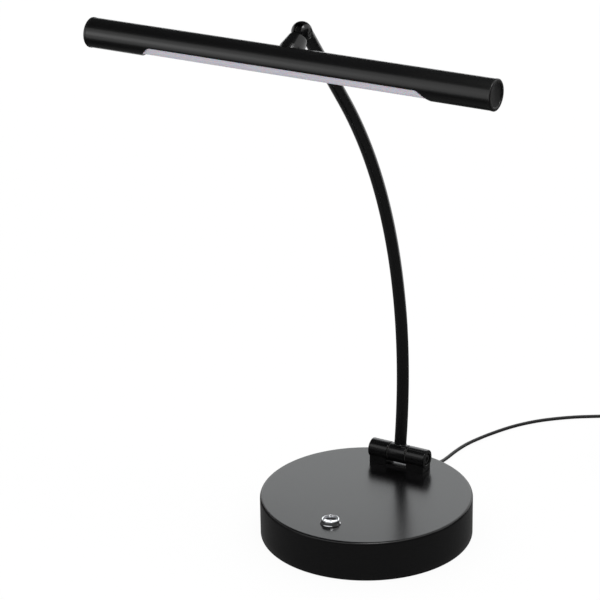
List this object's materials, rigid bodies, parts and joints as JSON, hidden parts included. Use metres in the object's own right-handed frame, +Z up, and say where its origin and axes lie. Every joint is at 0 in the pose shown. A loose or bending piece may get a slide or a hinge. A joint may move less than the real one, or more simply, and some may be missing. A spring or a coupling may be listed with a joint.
{
  "type": "piano lamp",
  "caption": "Piano lamp: round weighted base with a push switch, curved arm on a friction hinge, long tubular light bar that tilts on a ball-shaped knuckle, low-voltage cord and adaptor.",
  "frame": {"origin": "middle of the round base, on the floor it stands on", "axes": "+Z up, +X along the light bar, +Y to the back where the arm's hinge stands and the cord leaves; the light bar hangs over the front at -Y"},
  "size_m": [0.3383, 0.4306, 0.4566],
  "materials": {
    "black_enamel": "satin black enamel",
    "black_anodised": "satin black coat on an aluminium tube",
    "bare_aluminium": "extruded, plain",
    "iron": "as cast",
    "zinc_sheet": "zinc-plated sheet",
    "screw_steel": "zinc-plated",
    "black_screw": "blackened",
    "switch_chrome": "polished",
    "pad_rubber": "soft, matt",
    "cord_black": "smooth sheath",
    "black_plastic": "moulded",
    "adaptor_plastic": "fine-grained moulding",
    "cap_plastic": "smooth moulding",
    "opal": "opal, unlit",
    "white_board": "white mask",
    "green_board": "green mask",
    "phosphor": "phosphor",
    "nylon": "natural",
    "fibre": "fibre",
    "red_wire": "smooth sheath",
    "grey_wire": "smooth sheath"
  },
  "bodies": {
    "base": {"base_cover": "black_enamel", "base_weight": "iron", "base_plate": "zinc_sheet", "base_pad": "pad_rubber", "plate_screws": "screw_steel", "driver_board": "green_board", "board_spacers": "nylon", "board_screws": "screw_steel", "base_wires": "red_wire", "switch_bezel": "switch_chrome", "switch_seal": "pad_rubber", "switch_nut": "screw_steel", "switch_body": "black_plastic", "switch_spring": "screw_steel", "hinge_block": "black_enamel", "block_screws": "screw_steel", "hinge_bolt": "black_screw", "hinge_nut": "screw_steel", "hinge_spring_washers": "screw_steel", "friction_washers": "fibre", "cable_gland": "cord_black", "inner_lead": "cord_black", "cord": "cord_black", "cord_coil": "cord_black", "coil_tie": "black_plastic", "adaptor_body": "adaptor_plastic", "adaptor_relief": "cord_black", "adaptor_pins": "screw_steel"},
    "button": {"switch_button": "switch_chrome"},
    "arm": {"arm_knuckle": "black_enamel", "arm_tube": "black_enamel", "arm_wires": "grey_wire", "arm_ball": "black_enamel", "cross_screw": "black_screw"},
    "head": {"head_neck": "black_enamel", "tilt_washers": "fibre", "neck_screws": "screw_steel", "bar_tube": "black_anodised", "bar_carrier": "bare_aluminium", "led_board": "white_board", "led_chips": "phosphor", "bar_diffuser": "opal", "end_cap_left": "cap_plastic", "end_cap_right": "cap_plastic", "head_lead": "grey_wire"}
  },
  "joints": [
    {"name": "arm_tilt", "type": "hinge", "parent": "base", "child": "arm", "pos_m": [0, 0.0584, 0.0452], "axis": [1, 0, 0], "range_deg": [-35, 40]},
    {"name": "head_tilt", "type": "hinge", "parent": "arm", "child": "head", "pos_m": [0, -0.09293, 0.44878], "axis": [1, 0, 0], "range_deg": [-65, 30]},
    {"name": "button_press", "type": "slide", "parent": "base", "child": "button", "axis": [0, 0, -1], "range_m": [0, 0.0015], "stiffness_N_per_m": 800, "springref_m": -0.002, "deforming": ["switch_spring"]}
  ]
}
